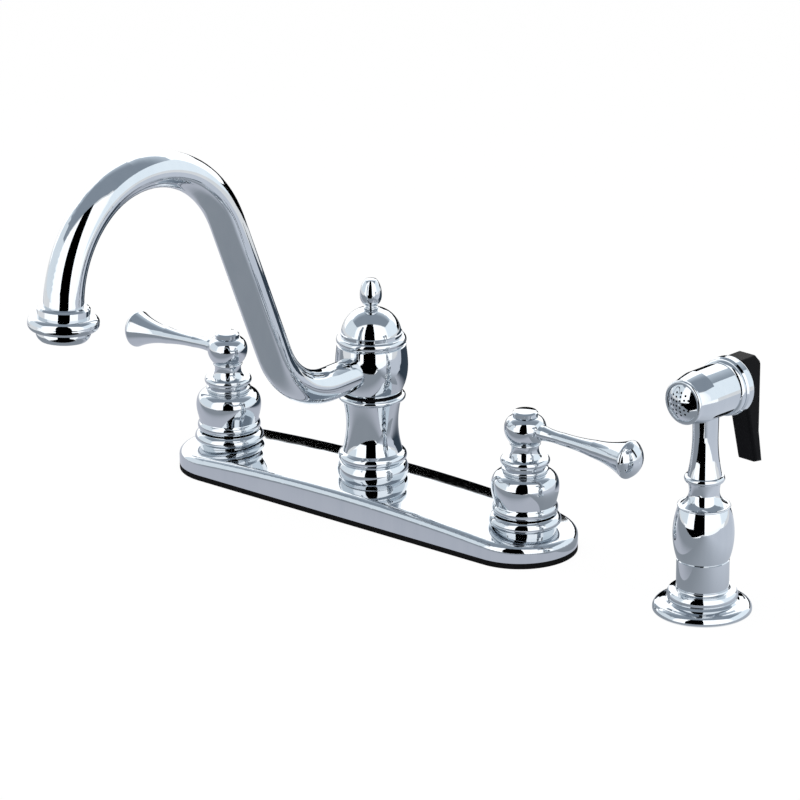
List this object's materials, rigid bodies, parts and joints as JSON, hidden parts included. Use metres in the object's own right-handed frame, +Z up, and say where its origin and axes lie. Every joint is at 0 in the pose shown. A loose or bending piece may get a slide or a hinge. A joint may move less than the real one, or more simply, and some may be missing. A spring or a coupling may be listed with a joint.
{
  "type": "two handle kitchen faucet",
  "caption": "Kitchen faucet with a crowned deck plate, lever handles on bell bodies, a high arched swivel spout on a turned column, and a separate side sprayer.",
  "frame": {"origin": "on the spout's axis, in the plane of the deck under the gasket", "axes": "+X to the user's right, towards the cold handle and the sprayer; -Y to the user, where the spout points; +Z up"},
  "size_m": [0.4173, 0.2761, 0.2831],
  "materials": {
    "chrome": "polished chrome plate",
    "spray_face_chrome": "satin chrome plate",
    "brass": "turned brass",
    "copper": "drawn copper tube",
    "rubber": "black moulded rubber",
    "steel": "plain stainless steel",
    "ceramic": "lapped white ceramic",
    "black_plastic": "black satin plastic",
    "white_plastic": "white moulded plastic"
  },
  "bodies": {
    "deck": {"deck_plate": "chrome", "base_gasket": "rubber", "waterway": "brass", "spout_column": "chrome", "spout_bearing": "black_plastic", "spout_orings": "rubber", "post_nut": "brass", "diverter_sleeve": "white_plastic", "diverter_stop": "steel", "diverter_spring": "steel", "shank_washers": "steel", "lock_nuts": "brass", "hot_valve_body": "brass", "cold_valve_body": "brass", "hot_base_ring": "chrome", "cold_base_ring": "chrome", "seat_seals": "rubber", "cartridge_shells": "brass", "fixed_discs": "ceramic", "bonnet_nuts": "brass", "crossover_tubes": "copper", "spray_holder": "chrome", "spray_guide": "black_plastic", "spray_washer": "rubber", "spray_nut": "black_plastic"},
    "spout": {"spout_barrel": "chrome", "dome_cap": "chrome", "finial": "chrome", "spout_tube": "chrome", "tip_collar": "chrome", "tip_ring": "chrome", "nozzle": "chrome", "aerator_screen": "white_plastic", "aerator_washer": "rubber"},
    "hot_handle": {"hot_turning_disc": "ceramic", "hot_stem": "brass", "hot_handle_bell": "chrome", "hot_lever": "chrome", "hot_index_cap": "chrome", "hot_handle_screw": "steel"},
    "cold_handle": {"cold_turning_disc": "ceramic", "cold_stem": "brass", "cold_handle_bell": "chrome", "cold_lever": "chrome", "cold_index_cap": "chrome", "cold_handle_screw": "steel"},
    "diverter": {"diverter_poppet": "white_plastic"},
    "sprayer": {"hose_coupling": "brass", "spray_grip": "chrome", "spray_neck": "chrome", "spray_head": "chrome", "face_ring": "chrome", "spray_face": "spray_face_chrome", "back_ring": "chrome", "back_cap": "chrome", "valve_seat": "brass", "lever_pin": "steel", "valve_spring": "steel"},
    "spray_trigger": {"spray_lever": "black_plastic"},
    "spray_valve": {"valve_plunger": "brass"}
  },
  "joints": [
    {"name": "spout_swivel", "type": "hinge", "parent": "deck", "child": "spout", "pos_m": [0, 0, 0.078], "axis": [0, 0, 1], "range_deg": [-60, 60]},
    {"name": "hot_turn", "type": "hinge", "parent": "deck", "child": "hot_handle", "pos_m": [-0.1016, 0, 0.05], "axis": [0, 0, 1], "range_deg": [0, 90]},
    {"name": "cold_turn", "type": "hinge", "parent": "deck", "child": "cold_handle", "pos_m": [0.1016, 0, 0.05], "axis": [0, 0, 1], "range_deg": [-90, 0]},
    {"name": "diverter_slide", "type": "slide", "parent": "deck", "child": "diverter", "axis": [0, 0, 1], "range_m": [0, 0.003], "stiffness_N_per_m": 30, "springref_m": -0.002, "deforming": ["diverter_spring"]},
    {"name": "sprayer_lift", "type": "slide", "parent": "deck", "child": "sprayer", "axis": [0, 0, 1], "range_m": [0, 0.06]},
    {"name": "trigger_pivot", "type": "hinge", "parent": "sprayer", "child": "spray_trigger", "pos_m": [0.22112, 0.01675, 0.1207], "axis": [-0.9962, 0.0872, 0], "range_deg": [0, 12], "stiffness_Nm_per_rad": 0.05, "springref_deg": -11.46},
    {"name": "valve_push", "type": "slide", "parent": "sprayer", "child": "spray_valve", "axis": [-0.0872, -0.9962, 0], "range_m": [0, 0.0015], "deforming": ["valve_spring"]}
  ],
  "couplings": [
    {"joint": "valve_push", "follows": "trigger_pivot", "m_per_rad": 0.0065}
  ]
}
